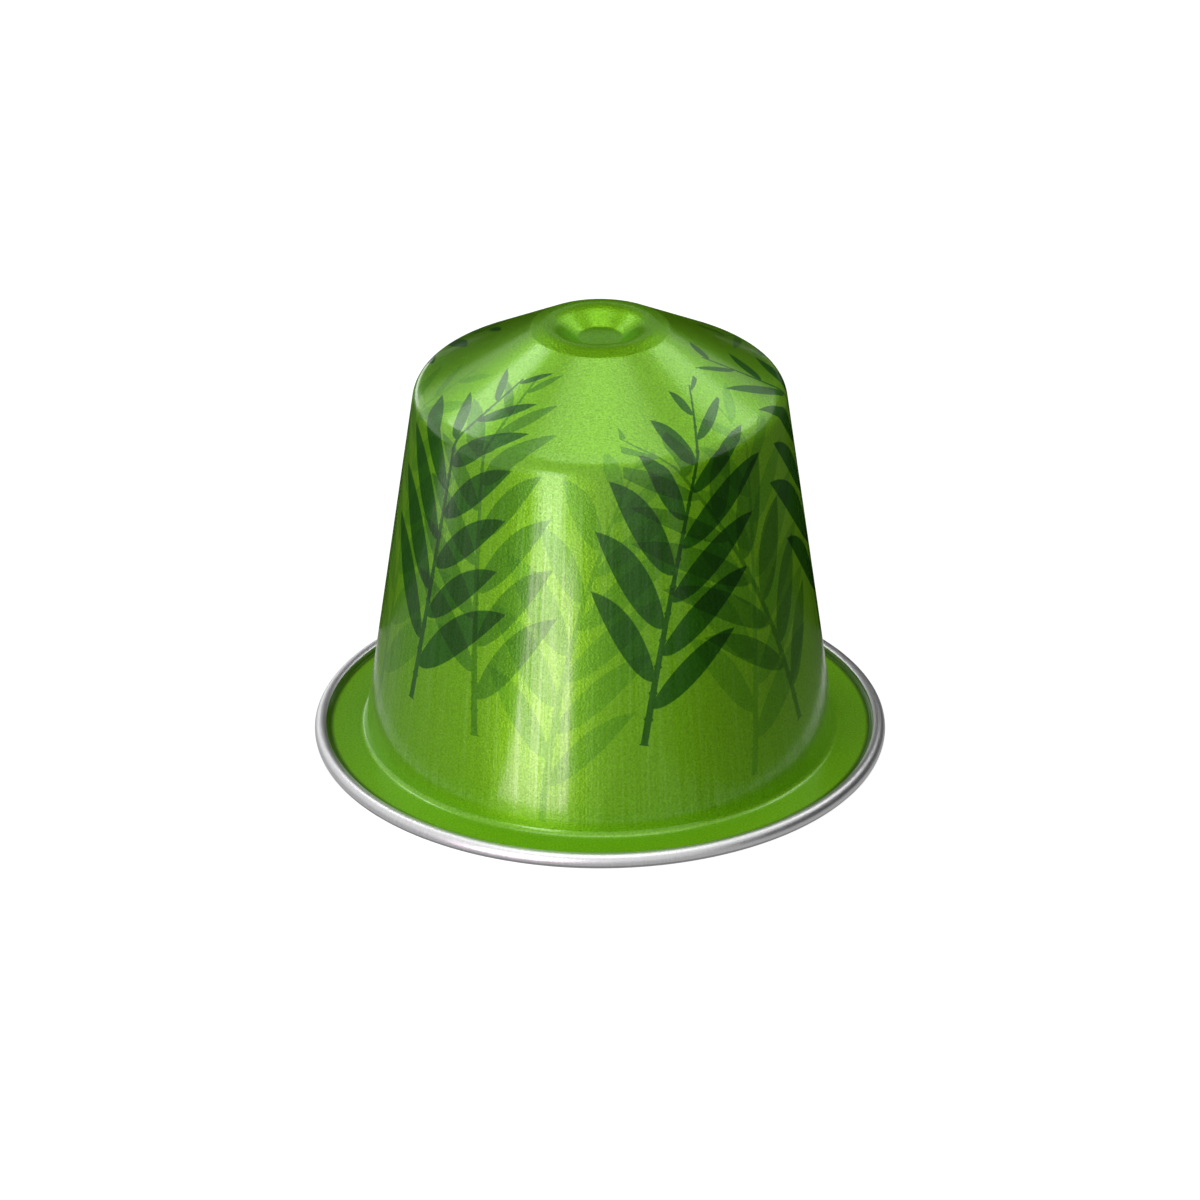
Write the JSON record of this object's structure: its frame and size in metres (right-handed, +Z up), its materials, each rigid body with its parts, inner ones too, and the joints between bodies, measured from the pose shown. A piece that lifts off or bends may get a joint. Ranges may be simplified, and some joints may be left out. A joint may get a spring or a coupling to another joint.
{
  "type": "coffee pod",
  "caption": "Sealed single-serve coffee pod: a tapered drawn aluminium cup with a dimpled crown, a flat flange with a rolled rim, and a foil lid underneath.",
  "frame": {"origin": "centre of the circle on which the rolled rim stands", "axes": "+Z up along the pod's axis, from the foil lid to the dimpled crown; the pod is round, so +X and +Y are free"},
  "size_m": [0.037, 0.037, 0.0289],
  "materials": {
    "green_lacquer": "translucent green lacquer with a tone-on-tone leaf print over drawn aluminium, satin, bare at the rolled rim",
    "lidding_foil": "soft foil, satin"
  },
  "bodies": {
    "root": {"sealed_cup": "green_lacquer", "foil_lid": "lidding_foil"}
  },
  "joints": []
}
